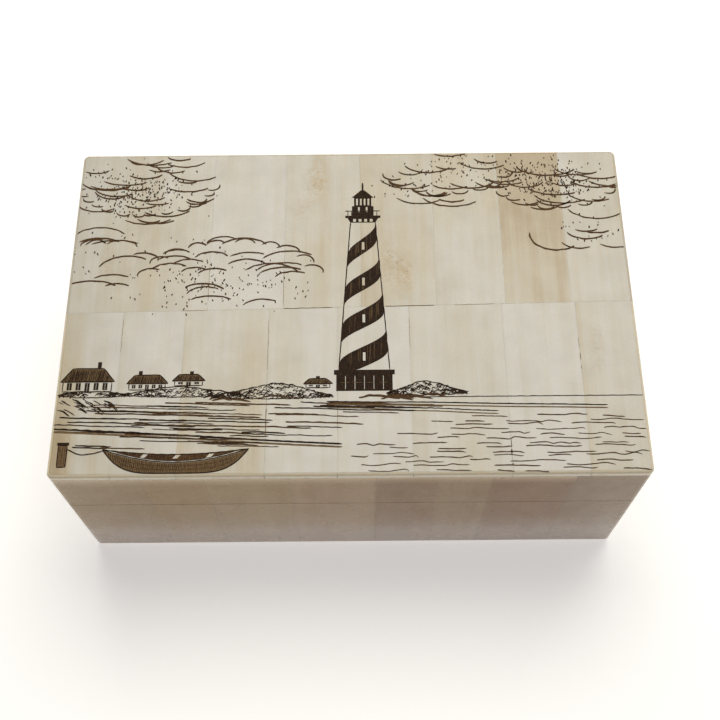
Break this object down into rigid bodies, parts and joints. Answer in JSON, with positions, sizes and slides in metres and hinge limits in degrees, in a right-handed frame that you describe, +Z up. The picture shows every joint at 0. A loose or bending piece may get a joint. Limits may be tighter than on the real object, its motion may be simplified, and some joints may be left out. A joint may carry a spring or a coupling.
{
  "type": "hinged trinket box",
  "caption": "Oblong wooden trinket box veneered with polished bone tiles; its lid swings up on brass butt hinges along the back edge.",
  "frame": {"origin": "centre of the felt under the base, on the surface that the box stands on", "axes": "+Z up, +X along the box's length to the right, +Y from the front to the hinged back"},
  "size_m": [0.152, 0.0974, 0.06],
  "materials": {
    "bone": "polished, with faint grain along each tile",
    "carcass_wood": "stained and waxed",
    "hinge_brass": "satin",
    "liner_felt": "wool felt",
    "underside_felt": "wool felt"
  },
  "bodies": {
    "base": {"base_back_tiles": "bone", "base_back_wall": "carcass_wood", "base_floor_panel": "carcass_wood", "base_front_tiles": "bone", "base_front_wall": "carcass_wood", "base_left_tiles": "bone", "base_left_wall": "carcass_wood", "base_right_tiles": "bone", "base_right_wall": "carcass_wood", "floor_liner": "liner_felt", "hinge_left_base_leaf": "hinge_brass", "hinge_left_base_screw_1": "hinge_brass", "hinge_left_base_screw_2": "hinge_brass", "hinge_left_pin": "hinge_brass", "hinge_right_base_leaf": "hinge_brass", "hinge_right_base_screw_1": "hinge_brass", "hinge_right_base_screw_2": "hinge_brass", "hinge_right_pin": "hinge_brass", "underside_felt": "underside_felt"},
    "lid": {"hinge_left_lid_leaf": "hinge_brass", "hinge_left_lid_screw_1": "hinge_brass", "hinge_left_lid_screw_2": "hinge_brass", "hinge_right_lid_leaf": "hinge_brass", "hinge_right_lid_screw_1": "hinge_brass", "hinge_right_lid_screw_2": "hinge_brass", "lid_back_tiles": "bone", "lid_back_wall": "carcass_wood", "lid_front_tiles": "bone", "lid_front_wall": "carcass_wood", "lid_left_tiles": "bone", "lid_left_wall": "carcass_wood", "lid_right_tiles": "bone", "lid_right_wall": "carcass_wood", "lid_top_panel": "carcass_wood", "lid_top_tile_back_1": "bone", "lid_top_tile_back_2": "bone", "lid_top_tile_back_3": "bone", "lid_top_tile_back_4": "bone", "lid_top_tile_back_5": "bone", "lid_top_tile_back_6": "bone", "lid_top_tile_back_7": "bone", "lid_top_tile_back_8": "bone", "lid_top_tile_front_1": "bone", "lid_top_tile_front_2": "bone", "lid_top_tile_front_3": "bone", "lid_top_tile_front_4": "bone", "lid_top_tile_front_5": "bone", "lid_top_tile_front_6": "bone", "lid_top_tile_front_7": "bone", "lid_top_tile_front_8": "bone"}
  },
  "joints": [
    {"name": "lid_hinge", "type": "hinge", "parent": "base", "child": "lid", "pos_m": [0, 0.04715, 0.038], "axis": [-1, 0, 0], "range_deg": [0, 100]}
  ]
}
